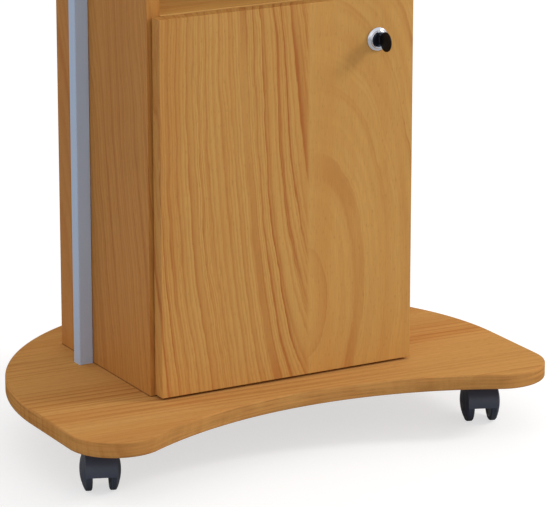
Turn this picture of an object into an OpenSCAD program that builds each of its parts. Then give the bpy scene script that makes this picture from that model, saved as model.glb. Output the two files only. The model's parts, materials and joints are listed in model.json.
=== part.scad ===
// Lectern podium on twin-wheel casters: a lockable cupboard on a horseshoe base board,
// with two aluminium uprights that carry a height- and tilt-adjustable reading desk.
// Millimetres. The speaker stands on the -Y side, +X is the speaker's right, +Z is up,
// and the floor is Z = 0. The origin is the middle of the base board's plan.

/* [Base board] */
// Overall width of the base board
base_w = 620; // [580:5:700]
// Overall depth of the base board
base_d = 468; // [440:2:540]
// Thickness of the base board
base_t = 18; // [16:1:25]
// Radius of the hollow in the speaker's edge, where the feet stand
front_r = 480; // [400:10:700]
// Radius of the two rounded front lobes
lobe_r = 58; // [50:1:70]

/* [Casters] */
// Wheel diameter
wheel_d = 50; // [44:1:62]
// Height of a caster's swivel head over its wheels, up to the base board
caster_head = 13; // [8:1:20]
// Overall width over a pair of wheels
caster_w = 47; // [44:1:56]
// Width of the gap between the two wheels of a pair
wheel_gap = 20; // [14:1:24]
// Distance from the swivel axis back to the axle
trail = 18; // [14:1:20]
// Distance from the edge of the base board to each swivel axis
caster_inset = 57; // [54:1:75]
// How far behind the lobe centres the front swivel axes stand
front_caster_back = 42; // [0:2:60]
// Angle from the back of the base board round to each rear swivel axis
rear_caster_angle = 41; // [30:1:55]
// How far the casters are turned in the resting pose
caster_turn = -22; // [-180:1:180]

/* [Cupboard] */
// Outside width over the two side panels
cab_w = 340; // [320:2:400]
// Depth of the side panels
cab_d = 233; // [210:1:260]
// Height of the side panels
cab_h = 682; // [640:2:800]
// Distance from the hollow of the base board to the side panels' front edges
cab_setback = 70; // [60:1:90]
// Thickness of side, bottom, shelf and top boards
board_t = 16; // [15:1:19]
// Thickness of the back panel
back_t = 12; // [8:1:16]
// Height of the fixed shelf's top above the base board
divider_h = 445; // [400:1:540]
// Height of the loose shelf's underside above the base board
shelf_h = 226; // [180:2:280]

/* [Door] */
// Thickness of the door
door_t = 18; // [16:1:19]
// Gap between the door's back and the side panels' front edges
door_gap = 2.5; // [2:0.1:4]
// How far the door's edges stand in from the side panels' outer faces
door_side = 5; // [3:0.5:8]
// Gap under the door
door_foot = 3; // [2:0.5:5]
// How far the door's top stands below the fixed shelf's upper face
door_top = 1; // [0.5:0.5:10]
// Distance from the door's edge to the middle of a hinge cup
cup_edge = 22.5; // [21.5:0.5:24]
// Distance from the door's ends to the hinges
hinge_end = 100; // [80:5:120]

/* [Lock] */
// Distance from the door's free edge to the lock
lock_edge = 48; // [44:1:54]
// Distance from the door's top to the lock
lock_drop = 51; // [48:1:70]
// Diameter of the lock's rosette
rosette_d = 28; // [26:1:32]
// Diameter of the turning plug
plug_d = 16; // [14:1:17]
// Gap between the locked cam's tip and the upright wall of its catch
cam_tip = 3; // [1:0.5:5]
// Diameter of the round key head
key_d = 23; // [20:1:26]

/* [Uprights] */
// How far the upright profile stands out from the side panel
rail_x = 18; // [16:1:24]
// Width of the upright profile along the side panel
rail_y = 16; // [14:1:24]
// Wall of the upright profile
rail_wall = 2.2; // [1.8:0.1:3]
// Distance from the side panel's front edge to the upright profile
rail_back = 147.5; // [120:0.5:180]
// Height of the sliding posts' feet above the base board
post_foot = 252; // [200:2:300]
// Diameter of the hand knobs
knob_d = 28; // [24:1:36]

/* [Desk] */
// Height of the tilting axis above the base board, desk lowered
pivot_h = 952; // [900:2:1000]
// Diameter of the cross bar
bar_d = 16; // [14:1:20]
// Wall of the cross bar
bar_wall = 2; // [1.5:0.1:3]
// Width of the reading desk
desk_w = 580; // [480:5:600]
// Depth of the reading desk
desk_d = 400; // [340:5:420]
// Thickness of the reading desk
desk_t = 18; // [16:1:25]
// Corner radius of the reading desk
desk_r = 40; // [15:1:80]
// Distance from the tilting axis back to the desk's rear edge
desk_back = 150; // [130:5:170]
// Slope of the desk in the resting pose
desk_tilt = 15; // [0:1:30]
// Distance between the two desk brackets
bracket_span = 250; // [200:5:270]
// Length of the book ledge
ledge_l = 480; // [400:5:500]
// Height of the book ledge above the desk
ledge_h = 20; // [12:1:30]

/* [Hidden] */
$fn = 96;
eps = 0.01;
// named clearances
fit = 0.03;          // radial, pins and screws that stay put
run = 0.1;           // radial, anything that turns
slide = 0.2;         // each side, sliding post in its upright
air = 0.5;           // between faces that pass each other
loose = 0.8;         // cam behind its catch

// base board plan
back_r = base_w/2;
back_cy = base_d/2 - back_r;
lobe_cx = base_w/2 - lobe_r;
lobe_cy = -base_d/2 + lobe_r;
arc_cy = lobe_cy - sqrt(pow(front_r + lobe_r, 2) - pow(lobe_cx, 2));
apex_y = arc_cy + front_r;
tan_x = lobe_cx*front_r/(front_r + lobe_r);
tan_y = arc_cy + (lobe_cy - arc_cy)*front_r/(front_r + lobe_r);

// levels
caster_h = wheel_d + caster_head;
z_under = caster_h;
z_base = caster_h + base_t;
z_top = z_base + cab_h;
z_div = z_base + divider_h;
z_shelf = z_base + shelf_h;

// cupboard
cab_x = cab_w/2;
in_x = cab_x - board_t;
cab_y0 = apex_y + cab_setback;
cab_y1 = cab_y0 + cab_d;
in_y1 = cab_y1 - back_t;
shelf_gap = 0.6;
shelf_front = 20;
peg_d = 5;
peg_in = 10;
peg_out = 8;
peg_line = 37;
peg_pitch = 32;
peg_rows = 2;
peg_y = [cab_y0 + peg_line, in_y1 - peg_line];

// door
door_x0 = -cab_x + door_side;
door_x1 = cab_x - door_side;
door_yb = cab_y0 - door_gap;
door_yf = door_yb - door_t;
door_z0 = z_base + door_foot;
door_z1 = z_div - door_top;
cup_x = door_x0 + cup_edge;
cup_d = 35;
cup_deep = 11.5;
cup_wall = 1.6;
cup_flange = 1.2;
cup_flange_w = 18;
cup_flange_l = 50;
hinge_z = [door_z0 + hinge_end, door_z1 - hinge_end];
arm_w = 14;
arm_plate_t = 4;
buffer_d = 8;
buffer_air = 0.2;
buffer_end = 20;

// lock
lock_x = door_x1 - lock_edge;
lock_z = door_z1 - lock_drop;
rosette_t = 2.5;
collar_d = plug_d + 5;
collar_out = 5;
barrel_d = plug_d + 3;
barrel_back = 6.5;
nut_t = 4;
spindle_d = 8;
cam_t = 2.5;
cam_w = 14;
plug_out = collar_out + 1;
strike_t = 2;
strike_leg = 16;
cam_l = in_x - strike_t - cam_tip - lock_x;
strike_deep = 24;
strike_h = 30;
key_t = 2.4;
key_neck = 1;
blade_t = 2.2;
blade_w = 7.5;
blade_deep = 20;
key_out = plug_out + air + key_neck + key_d/2;

// casters
wheel_r = wheel_d/2;
web_t = wheel_gap - 2;
tread_w = 8;
hood_air = 1;
hood_wall = 2;
hood_r = wheel_r + hood_air + hood_wall;
hood_w = wheel_gap + 2*tread_w;
hood_low = 23;
hood_slope = 15;
axle_d = 5;
axle_end = 4.5;
plate_t = 2;
plate_w = 42;
plate_hole = 32;
king_d = 8;
boss_d = 24;
king_bottom = wheel_r + 21;
screw_d = 4;
screw_head = 8;
screw_head_t = 2.2;
screw_in = 12;
caster_x = [-lobe_cx - lobe_r + caster_inset, lobe_cx + lobe_r - caster_inset,
            -(back_r - caster_inset)*sin(rear_caster_angle), (back_r - caster_inset)*sin(rear_caster_angle)];
caster_y = [lobe_cy + front_caster_back, lobe_cy + front_caster_back,
            back_cy + (back_r - caster_inset)*cos(rear_caster_angle), back_cy + (back_r - caster_inset)*cos(rear_caster_angle)];
pedal_a = 50;
pedal_r = hood_r + 5.5;
pedal_y = -trail - pedal_r*sin(pedal_a);
pedal_z = wheel_r + pedal_r*cos(pedal_a);
pedal_pin = 4;
pedal_barrel = 8;
pedal_w = 14;
pedal_plate_w = 26;
pedal_l = 23;
pedal_t = 3;
brake_on = 15;

// uprights
rail_cx = cab_x + rail_x/2;
rail_cy = cab_y0 + rail_back + rail_y/2;
rail_r = 1.5;
post_x = rail_x - 2*rail_wall - 2*slide;
post_y = rail_y - 2*rail_wall - 2*slide;
rail_screw_up = 6.5;  // top screws above the middle of the open shelf
rail_screw_z = [z_base + 82, z_base + 342, (z_div + z_top - board_t)/2 + rail_screw_up];
rail_head_d = 9;
rail_head_t = 2.5;
clamp_z = z_top - 25;
stud_d = 6;
knob_t = 16;

// desk, given about the tilting axis with the desk level
pivot_y = rail_cy;
pivot_z = z_base + pivot_h;
head_w = 24;
head_d = 34;
head_drop = 30;
socket = 18;
head_skin = 3;
bar_end = rail_cx + head_w/2 - head_skin - air;
lift_gap = 30;
flange_t = 5;
flange_x = 56;
flange_y = 90;
lug_w = 30;
lug_d = bar_d + 16;
neck_y = 24;
ledge_t = 14;
ledge_in = 4;

// ---- shared shapes ----
module rod_x(d, l) { rotate([0, 90, 0]) cylinder(d = d, h = l, center = true); }
module rod_y(d, y0, y1) { translate([0, y0, 0]) rotate([-90, 0, 0]) cylinder(d = d, h = y1 - y0); }
module box(x0, x1, y0, y1, z0, z1) { translate([x0, y0, z0]) cube([x1 - x0, y1 - y0, z1 - z0]); }
module round_rect(x, y, r) {
  for (a = [-1, 1], b = [-1, 1]) translate([a*(x/2 - r), b*(y/2 - r)]) circle(r = r);
  square([x - 2*r, y], center = true);
  square([x, y - 2*r], center = true);
}

// ---- base board ----
module base_plan() {
  difference() {
    union() {
      intersection() {
        translate([0, back_cy]) circle(r = back_r, $fn = 240);
        translate([-base_w, back_cy]) square([2*base_w, base_d]);
      }
      translate([-base_w/2, lobe_cy]) square([base_w, back_cy - lobe_cy]);
      for (s = [-1, 1]) translate([s*lobe_cx, lobe_cy]) circle(r = lobe_r);
      polygon([[-lobe_cx, lobe_cy], [-tan_x, tan_y], [tan_x, tan_y], [lobe_cx, lobe_cy]]);
    }
    translate([0, arc_cy]) circle(r = front_r, $fn = 360);
  }
}

module base_panel() {
  color("#c89a5f") difference() {
    translate([0, 0, z_under]) linear_extrude(base_t) base_plan();
    for (i = [0:3]) caster_holes(i);
  }
}

// ---- cupboard ----
module side_holes(s) {
  for (y = peg_y, k = [-peg_rows:peg_rows])
    translate([s*(in_x + peg_in/2), y, z_shelf - peg_d/2 + k*peg_pitch]) rod_x(peg_d + 2*fit, peg_in + eps);
  for (z = rail_screw_z) translate([s*(in_x + board_t/2), rail_cy, z]) rod_x(screw_d + 2*fit, board_t + 1);
}
module side_panel(s) {
  difference() {
    translate([s*(in_x + board_t/2) - board_t/2, cab_y0, z_base]) cube([board_t, cab_d, cab_h]);
    side_holes(s);
  }
}
module side_panel_left() { color("#b9834a") side_panel(-1); }
module side_panel_right() { color("#b9834a") side_panel(1); }
module back_panel() { color("#b9834a") box(-in_x, in_x, in_y1, cab_y1, z_base, z_top); }
module bottom_panel() { color("#b9834a") box(-in_x, in_x, cab_y0, in_y1, z_base, z_base + board_t); }
module divider_shelf() { color("#b9834a") box(-in_x, in_x, cab_y0, in_y1, z_div - board_t, z_div); }
module top_panel() { color("#b9834a") box(-in_x, in_x, cab_y0, in_y1, z_top - board_t, z_top); }
module loose_shelf() {
  color("#b9834a") box(-in_x + shelf_gap, in_x - shelf_gap, cab_y0 + shelf_front, in_y1 - shelf_gap, z_shelf, z_shelf + board_t);
}
module shelf_pegs() {
  color("#b9bcc0") for (s = [-1, 1], y = peg_y)
    translate([s*(in_x + peg_in/2 - peg_out/2 - fit), y, z_shelf - peg_d/2]) rod_x(peg_d, peg_in + peg_out - 2*fit);
}

// ---- door ----
module door() {
  color("#c98f4e") difference() {
    box(door_x0, door_x1, door_yf, door_yb, door_z0, door_z1);
    for (z = hinge_z) translate([cup_x, 0, z]) rod_y(cup_d + 2*fit, door_yb - cup_deep - fit, door_yb + 1);
    translate([lock_x, 0, lock_z]) rod_y(barrel_d + 2*fit, door_yf - 1, door_yb + 1);
  }
}
module door_buffers() {
  color("#e8e8e8") for (z = [door_z0 + buffer_end, door_z1 - buffer_end])
    translate([door_x1 - buffer_d/2 - 1, 0, z]) rod_y(buffer_d, door_yb, cab_y0 - buffer_air);
}
module cup(i) {
  color("#a7abb0") translate([cup_x, 0, hinge_z[i]]) difference() {
    union() {
      rod_y(cup_d, door_yb - cup_deep, door_yb + cup_flange);
      box(-cup_flange_w/2, cup_flange_w/2, door_yb, door_yb + cup_flange, -cup_flange_l/2, cup_flange_l/2);
    }
    rod_y(cup_d - 2*cup_wall, door_yb - cup_deep + cup_wall, door_yb + cup_flange + 1);
    for (s = [-1, 1]) translate([0, 0, s*(cup_flange_l/2 - 3.5)]) rod_y(screw_d, door_yb - 1, door_yb + cup_flange + 1);
  }
}
module hinge_cup_low() { cup(0); }
module hinge_cup_high() { cup(1); }
module arm(i) {
  color("#9a9ea4") translate([0, 0, hinge_z[i]]) {
    difference() {
      box(-in_x, -in_x + arm_plate_t, cab_y0 + 36, cab_y0 + 74, -26, 26);
      for (s = [-1, 1]) translate([-in_x, cab_y0 + 55, s*19]) rod_x(screw_d, 3*arm_plate_t);
    }
    translate([-in_x, cab_y0, -arm_w/2]) linear_extrude(arm_w) polygon([
      [arm_plate_t, 72], [arm_plate_t, 22], [1.5, 14], [3, 2], [6, -3], [9, -8], [15, -8],
      [17, -4], [16, 4], [13, 12], [13, 72]]);
  }
}
module hinge_arm_low() { arm(0); }
module hinge_arm_high() { arm(1); }

// ---- lock ----
module at_lock() { translate([lock_x, 0, lock_z]) children(); }
module lock_body() {
  color("#c9ccd1") at_lock() difference() {
    union() {
      rod_y(rosette_d, door_yf - rosette_t, door_yf);
      rod_y(collar_d, door_yf - collar_out, door_yf);
      rod_y(barrel_d, door_yf - collar_out, door_yb + barrel_back);
      translate([0, door_yb, 0]) rotate([-90, 0, 0]) cylinder(d = 27, h = nut_t, $fn = 6);
    }
    rod_y(plug_d + 2*run, door_yf - collar_out - 1, door_yb + barrel_back + 1);
  }
}
module lock_plug() {
  color("#3a3d42") at_lock() difference() {
    union() {
      rod_y(plug_d, door_yf - plug_out, door_yb + barrel_back);
      rod_y(spindle_d, door_yb + barrel_back - 1, door_yb + barrel_back + slide + cam_t + 0.6);
    }
    box(-blade_t/2 - fit, blade_t/2 + fit, door_yf - plug_out - 1, door_yf - plug_out + blade_deep + fit, -blade_w/2 - fit, blade_w/2 + fit);
  }
}
module lock_cam() {
  color("#b4b7bb") at_lock() translate([0, door_yb + barrel_back + slide, 0]) difference() {
    rotate([-90, 0, 0]) linear_extrude(cam_t) union() {
      circle(d = cam_w + 2);
      translate([-cam_w/2, -cam_l + 3]) square([cam_w, cam_l - 3]);
      translate([-cam_w/2 + 3, -cam_l]) square([cam_w - 6, 4]);
      for (s = [-1, 1]) translate([s*(cam_w/2 - 3), -cam_l + 3]) circle(r = 3);
    }
    rod_y(spindle_d + 2*fit, -1, cam_t + 1);
  }
}
module key_blade() {
  color("#c4c7cb") at_lock() box(-blade_t/2, blade_t/2, door_yf - key_out, door_yf - plug_out + blade_deep, -blade_w/2, blade_w/2);
}
module key_head() {
  color("#15161a") at_lock() translate([0, door_yf - key_out, 0]) difference() {
    union() { rod_x(key_d, key_t); translate([0, key_d/2 + key_neck - 3, 0]) cube([key_t + 1, 6, 10], center = true); }
    box(-blade_t/2 - fit, blade_t/2 + fit, -fit, key_d, -blade_w/2 - fit, blade_w/2 + fit);
  }
}
module lock_strike() {
  color("#a7abb0") translate([in_x, door_yb + barrel_back + slide - loose - strike_t, lock_z]) difference() {
    union() {
      box(-strike_leg, 0, 0, strike_t, -strike_h/2, strike_h/2);
      box(-strike_t, 0, 0, strike_deep, -strike_h/2, strike_h/2);
    }
    for (s = [-1, 1]) translate([0, strike_deep - 7, s*9]) rod_x(screw_d, 3*strike_t);
  }
}

// ---- casters, built about the swivel axis with the wheels trailing to -Y ----
module at_caster(i) { translate([caster_x[i], caster_y[i], 0]) children(); }
module turned(i) { at_caster(i) rotate([0, 0, caster_turn]) children(); }
module screw_places() { for (a = [-1, 1], b = [-1, 1]) translate([a*plate_hole/2, b*plate_hole/2, 0]) children(); }
module caster_holes(i) {
  at_caster(i) screw_places() translate([0, 0, z_under - 1]) cylinder(d = screw_d + 2*fit, h = screw_in + 1 + fit);
}
module plate(i) {
  color("#9da1a6") at_caster(i) {
    difference() {
      translate([0, 0, z_under - plate_t]) linear_extrude(plate_t) round_rect(plate_w, plate_w, 5);
      screw_places() translate([0, 0, z_under - plate_t - 1]) cylinder(d = screw_d + 2*fit, h = plate_t + 2);
    }
    translate([0, 0, king_bottom]) cylinder(d = king_d, h = z_under - plate_t - king_bottom + eps);
  }
}
module hood(i, pedal) {
  color("#3b3f47") turned(i) difference() {
    union() {
      difference() {
        union() {
          translate([0, -trail, wheel_r]) rod_x(2*hood_r, hood_w);
          translate([0, 0, wheel_r + 10]) cylinder(d = boss_d, h = z_under - plate_t - air - wheel_r - 10);
          if (pedal) for (s = [-1, 1]) translate([s*(pedal_w/2 + air + 2), pedal_y, pedal_z]) {
            rod_x(pedal_barrel, 4);
            rotate([pedal_a, 0, 0]) translate([-2, -pedal_barrel/2, -7]) cube([4, pedal_barrel, 7]);
          }
        }
        for (s = [-1, 1]) translate([s*(web_t/2 + hood_w/2), -trail, wheel_r]) rod_x(2*(wheel_r + hood_air), hood_w);
        translate([0, -trail - hood_r, hood_low]) rotate([hood_slope, 0, 0]) translate([-50, -20, -60]) cube([100, 140, 60]);
      }
      translate([0, -trail, wheel_r]) rod_x(18, web_t);
      if (pedal) translate([0, pedal_y, pedal_z]) rod_x(pedal_pin, pedal_w + 2*air + 4);
    }
    translate([0, -trail, wheel_r]) rod_x(axle_d + 2*fit, hood_w);
    translate([0, 0, king_bottom - air]) cylinder(d = king_d + 2*run, h = 40);
  }
}
module axle(i) {
  color("#8b8f95") turned(i) translate([0, -trail, wheel_r]) rod_x(axle_d, caster_w - 2*axle_end);
}
module wheel(i, s) {
  dome = caster_w/2 - wheel_gap/2 - tread_w;
  rim = wheel_r - 1.2;
  cap_r = (rim*rim + dome*dome)/(2*dome);
  color("#4a4e56") turned(i) translate([0, -trail, wheel_r]) mirror([s < 0 ? 1 : 0, 0, 0]) rotate([0, 90, 0]) rotate_extrude($fn = 72) {
    difference() {
      union() {
        translate([0, wheel_gap/2]) square([wheel_r - 1, tread_w]);
        translate([0, wheel_gap/2 + 1]) square([wheel_r, tread_w - 2]);
        for (y = [1, tread_w - 1]) translate([wheel_r - 1, wheel_gap/2 + y]) circle(r = 1, $fn = 24);
        intersection() {
          translate([0, caster_w/2 - cap_r]) circle(r = cap_r, $fn = 240);
          translate([0, wheel_gap/2 + tread_w - 1]) square([rim, dome + 2]);
        }
      }
      translate([-eps, wheel_gap/2 - 1]) square([axle_d/2 + run + eps, caster_w/2 - axle_end - wheel_gap/2 + 1 + air]);
      translate([-30, wheel_gap/2 - 5]) square([30, caster_w]);
    }
  }
}
module brake(i) {
  color("#33353b") turned(i) translate([0, pedal_y, pedal_z]) rotate([brake_on, 0, 0]) difference() {
    union() {
      rod_x(pedal_barrel, pedal_w);
      translate([-pedal_w/2, -8, 0]) cube([pedal_w, 8, pedal_barrel/2]);
      translate([-pedal_plate_w/2, -pedal_l, pedal_barrel/2 - pedal_t]) cube([pedal_plate_w, pedal_l - 7, pedal_t]);
    }
    rod_x(pedal_pin + 2*run, 3*pedal_w);
  }
}
module caster_fl_plate() { plate(0); }
module caster_fl_hood() { hood(0, false); }
module caster_fl_axle() { axle(0); }
module caster_fl_wheel_a() { wheel(0, -1); }
module caster_fl_wheel_b() { wheel(0, 1); }
module caster_fr_plate() { plate(1); }
module caster_fr_hood() { hood(1, false); }
module caster_fr_axle() { axle(1); }
module caster_fr_wheel_a() { wheel(1, -1); }
module caster_fr_wheel_b() { wheel(1, 1); }
module caster_rl_plate() { plate(2); }
module caster_rl_hood() { hood(2, true); }
module caster_rl_axle() { axle(2); }
module caster_rl_wheel_a() { wheel(2, -1); }
module caster_rl_wheel_b() { wheel(2, 1); }
module caster_rl_brake() { brake(2); }
module caster_rr_plate() { plate(3); }
module caster_rr_hood() { hood(3, true); }
module caster_rr_axle() { axle(3); }
module caster_rr_wheel_a() { wheel(3, -1); }
module caster_rr_wheel_b() { wheel(3, 1); }
module caster_rr_brake() { brake(3); }
module caster_screws() {
  color("#b9bcc0") for (i = [0:3]) at_caster(i) screw_places() {
    translate([0, 0, z_under - plate_t - screw_head_t]) cylinder(d = screw_head, h = screw_head_t);
    translate([0, 0, z_under - plate_t - eps]) cylinder(d = screw_d, h = plate_t + screw_in + eps);
  }
}

// ---- uprights and posts ----
module rail(s) {
  color("#aab1bf") difference() {
    translate([s*rail_cx, rail_cy, z_base]) linear_extrude(cab_h) difference() {
      round_rect(rail_x, rail_y, rail_r);
      square([rail_x - 2*rail_wall, rail_y - 2*rail_wall], center = true);
    }
    translate([s*(rail_cx + rail_x/2), rail_cy, clamp_z]) rod_x(stud_d + 2*run, 3*rail_wall);
    for (z = rail_screw_z) translate([s*cab_x, rail_cy, z]) rod_x(screw_d + 2*fit, 2*rail_wall + 1);
  }
}
module rail_left() { rail(-1); }
module rail_right() { rail(1); }
module rail_screws() {
  color("#b9bcc0") for (s = [-1, 1], z = rail_screw_z) translate([0, rail_cy, z]) {
    translate([s*(in_x - rail_head_t/2), 0, 0]) rod_x(rail_head_d, rail_head_t);
    translate([s*(in_x + (board_t + rail_wall)/2 - 0.1), 0, 0]) rod_x(screw_d, board_t + rail_wall - 0.2);
  }
}
module post(s) {
  color("#c3c8d0") translate([s*rail_cx - post_x/2, rail_cy - post_y/2, z_base + post_foot])
    cube([post_x, post_y, pivot_z - head_drop + socket - z_base - post_foot]);
}
module post_left() { post(-1); }
module post_right() { post(1); }
module knob() {
  difference() {
    union() {
      cylinder(d = knob_d, h = knob_t - 4);
      cylinder(d = knob_d - 8, h = knob_t);
    }
    for (a = [0:60:300]) rotate([0, 0, a]) translate([knob_d/2 + 2.5, 0, -1]) cylinder(d = 10, h = knob_t + 2);
  }
}
module height_knob(s) {
  reach = rail_wall + slide - run;
  color("#1d1f24") translate([s*(rail_cx + rail_x/2), rail_cy, clamp_z]) rotate([0, s*90, 0]) {
    translate([0, 0, air]) knob();
    translate([0, 0, -reach]) cylinder(d = stud_d, h = reach + air + eps);
  }
}
module height_knob_left() { height_knob(-1); }
module height_knob_right() { height_knob(1); }
module post_head(s) {
  color("#8f949c") difference() {
    union() {
      translate([s*rail_cx, pivot_y, pivot_z]) rod_x(head_d, head_w);
      translate([s*rail_cx - head_w/2, pivot_y - head_d/2, pivot_z - head_drop]) cube([head_w, head_d, head_drop]);
    }
    translate([s*(rail_cx - head_skin), pivot_y, pivot_z]) rod_x(bar_d + 2*fit, head_w);
    translate([s*rail_cx - post_x/2 - fit, pivot_y - post_y/2 - fit, pivot_z - head_drop - 1])
      cube([post_x + 2*fit, post_y + 2*fit, socket + 1]);
  }
}
module post_head_left() { post_head(-1); }
module post_head_right() { post_head(1); }
module cross_bar() {
  color("#c3c8d0") translate([0, pivot_y, pivot_z]) difference() {
    rod_x(bar_d, 2*bar_end);
    rod_x(bar_d - 2*bar_wall, 2*bar_end + 2);
  }
}

// ---- reading desk ----
module at_desk() { translate([0, pivot_y, pivot_z]) rotate([desk_tilt, 0, 0]) children(); }
module bracket(s, clamp) {
  color("#8f949c") at_desk() translate([s*bracket_span/2, 0, 0]) difference() {
    union() {
      rod_x(lug_d, lug_w);
      box(-lug_w/2, lug_w/2, -neck_y/2, neck_y/2, 0, lift_gap);
      translate([0, 0, lift_gap - flange_t]) linear_extrude(flange_t) round_rect(flange_x, flange_y, 6);
    }
    rod_x(bar_d + 2*run, lug_w + 2);
    if (clamp) rotate([90, 0, 0]) cylinder(d = stud_d + 2*run, h = lug_d);
    for (a = [-1, 1], b = [-1, 1]) translate([a*(flange_x/2 - 7), b*(flange_y/2 - 9), 0]) cylinder(d = screw_d + 1, h = lift_gap + 1);
  }
}
module bracket_left() { bracket(-1, false); }
module bracket_right() { bracket(1, true); }
module tilt_knob() {
  reach = lug_d/2 - bar_d/2 - run;
  color("#1d1f24") at_desk() translate([bracket_span/2, -lug_d/2, 0]) rotate([90, 0, 0]) {
    translate([0, 0, air]) knob();
    translate([0, 0, -reach]) cylinder(d = stud_d, h = reach + air + eps);
  }
}
module desk_panel() {
  color("#c89a5f") at_desk() translate([0, desk_back - desk_d/2, lift_gap]) linear_extrude(desk_t) round_rect(desk_w, desk_d, desk_r);
}
module desk_ledge() {
  color("#b9834a") at_desk() translate([0, desk_back - desk_d + ledge_in + ledge_t/2, lift_gap + desk_t])
    linear_extrude(ledge_h) round_rect(ledge_l, ledge_t, ledge_t/2 - 0.5);
}

base_panel();
side_panel_left();
side_panel_right();
back_panel();
bottom_panel();
divider_shelf();
top_panel();
loose_shelf();
shelf_pegs();
door();
door_buffers();
hinge_cup_low();
hinge_cup_high();
hinge_arm_low();
hinge_arm_high();
lock_body();
lock_plug();
lock_cam();
key_blade();
key_head();
lock_strike();
caster_fl_plate();
caster_fl_hood();
caster_fl_axle();
caster_fl_wheel_a();
caster_fl_wheel_b();
caster_fr_plate();
caster_fr_hood();
caster_fr_axle();
caster_fr_wheel_a();
caster_fr_wheel_b();
caster_rl_plate();
caster_rl_hood();
caster_rl_axle();
caster_rl_wheel_a();
caster_rl_wheel_b();
caster_rl_brake();
caster_rr_plate();
caster_rr_hood();
caster_rr_axle();
caster_rr_wheel_a();
caster_rr_wheel_b();
caster_rr_brake();
caster_screws();
rail_left();
rail_right();
rail_screws();
post_left();
post_right();
height_knob_left();
height_knob_right();
post_head_left();
post_head_right();
cross_bar();
bracket_left();
bracket_right();
tilt_knob();
desk_panel();
desk_ledge();
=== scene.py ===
# %% [markdown]
# # A lectern podium in beech laminate and aluminium
# The podium is a cupboard on a horseshoe base board with casters, and two aluminium uprights that carry a
# tilting reading desk. The imported model gives every piece its size and place. This file adds what a
# mechanical model lacks: eased edges, turned and moulded parts, and a finish for each material.
#
# The first step loads that model.

# %% Load the fixed frame
import math

import bmesh
import bpy
import numpy as np
from mathutils import Matrix, Vector
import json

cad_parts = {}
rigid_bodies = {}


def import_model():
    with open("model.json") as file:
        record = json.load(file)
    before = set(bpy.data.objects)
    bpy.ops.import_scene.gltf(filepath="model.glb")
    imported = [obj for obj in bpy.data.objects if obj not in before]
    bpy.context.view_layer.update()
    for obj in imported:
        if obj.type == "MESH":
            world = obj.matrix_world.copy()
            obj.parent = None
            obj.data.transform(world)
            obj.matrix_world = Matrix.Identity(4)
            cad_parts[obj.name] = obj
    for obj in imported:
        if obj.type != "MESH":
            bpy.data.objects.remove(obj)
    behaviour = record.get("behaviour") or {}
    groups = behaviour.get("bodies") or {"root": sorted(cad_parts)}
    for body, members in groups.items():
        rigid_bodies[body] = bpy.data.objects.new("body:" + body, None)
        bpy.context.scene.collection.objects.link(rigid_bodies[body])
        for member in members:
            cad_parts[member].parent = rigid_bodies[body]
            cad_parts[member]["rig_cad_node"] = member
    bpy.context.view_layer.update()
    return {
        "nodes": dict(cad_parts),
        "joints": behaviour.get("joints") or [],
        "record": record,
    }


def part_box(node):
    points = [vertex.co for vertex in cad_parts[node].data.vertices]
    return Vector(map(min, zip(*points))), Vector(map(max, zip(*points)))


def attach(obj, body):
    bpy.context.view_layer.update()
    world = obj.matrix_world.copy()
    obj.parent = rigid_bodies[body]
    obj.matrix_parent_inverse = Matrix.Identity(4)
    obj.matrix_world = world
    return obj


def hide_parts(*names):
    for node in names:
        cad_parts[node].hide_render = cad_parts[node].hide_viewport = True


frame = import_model()
joints = {joint["name"]: joint for joint in frame["joints"]}
nodes = frame["nodes"]
scene = bpy.context.scene

# %% [markdown]
# ## Camera
# A long lens far from the podium keeps the cupboard's upright lines almost parallel, as in a catalogue
# picture. The camera stands to the speaker's left and looks a little down, so the door, the left side and
# the top of the base board all show. It is turned rather than shifted, because a shifted lens would also
# shift every other view.

# %% Camera
def make_camera(place, yaw, pitch, lens):
    """A camera at place that looks along (sin yaw cos pitch, cos yaw cos pitch, -sin pitch)."""
    data = bpy.data.cameras.new("camera")
    data.lens, data.sensor_width = lens, 36.0
    data.clip_end = 50.0
    camera = bpy.data.objects.new("camera", data)
    camera.location = place
    camera.rotation_euler = (math.pi / 2 - math.radians(pitch), 0.0, -math.radians(yaw))
    scene.collection.objects.link(camera)
    scene.camera = camera
    return camera


camera = make_camera((-1.9040, -3.5044, 1.3391), yaw=29.144, pitch=15.896, lens=229.09)
print("camera at", tuple(camera.location), "lens", camera.data.lens)

# %% [markdown]
# ## Studio
# The podium stands on a plain pale floor under a white sky. The sky fills every shadow softly. One key
# light on the speaker's right, high and slightly in front, makes the door brighter than the left side and
# throws the lock's long soft shadow to the lower left, and a weak front light opens the door's colour. A
# white floor would throw much light back up over the whole podium, so the paint is a mid grey for the light
# and glows towards white only for what the lens sees. The sky is treated the same way: the lens sees it
# slightly brighter than it lights.

# %% Floor, sky and lights
def srgb(red, green, blue):
    """Turns a screen colour of 0 to 255 into the linear colour that the shaders use."""
    c = np.array([red, green, blue]) / 255.0
    linear = np.where(c <= 0.04045, c / 12.92, ((c + 0.055) / 1.055) ** 2.4)
    return (*linear.tolist(), 1.0)


def area_light(name, place, aim, size, watts):
    """A square white lamp at place that faces aim."""
    data = bpy.data.lights.new(name, "AREA")
    data.size, data.energy = size, watts
    lamp = bpy.data.objects.new(name, data)
    lamp.location = place
    lamp.rotation_euler = (Vector(aim) - Vector(place)).to_track_quat("-Z", "Y").to_euler()
    scene.collection.objects.link(lamp)
    return lamp


SKY_LIGHT, SKY_EXTRA_SEEN = 0.80, 0.17
FLOOR_HALF, FLOOR_GREY, FLOOR_GLOW = 12.0, 0.44, 0.62

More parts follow.
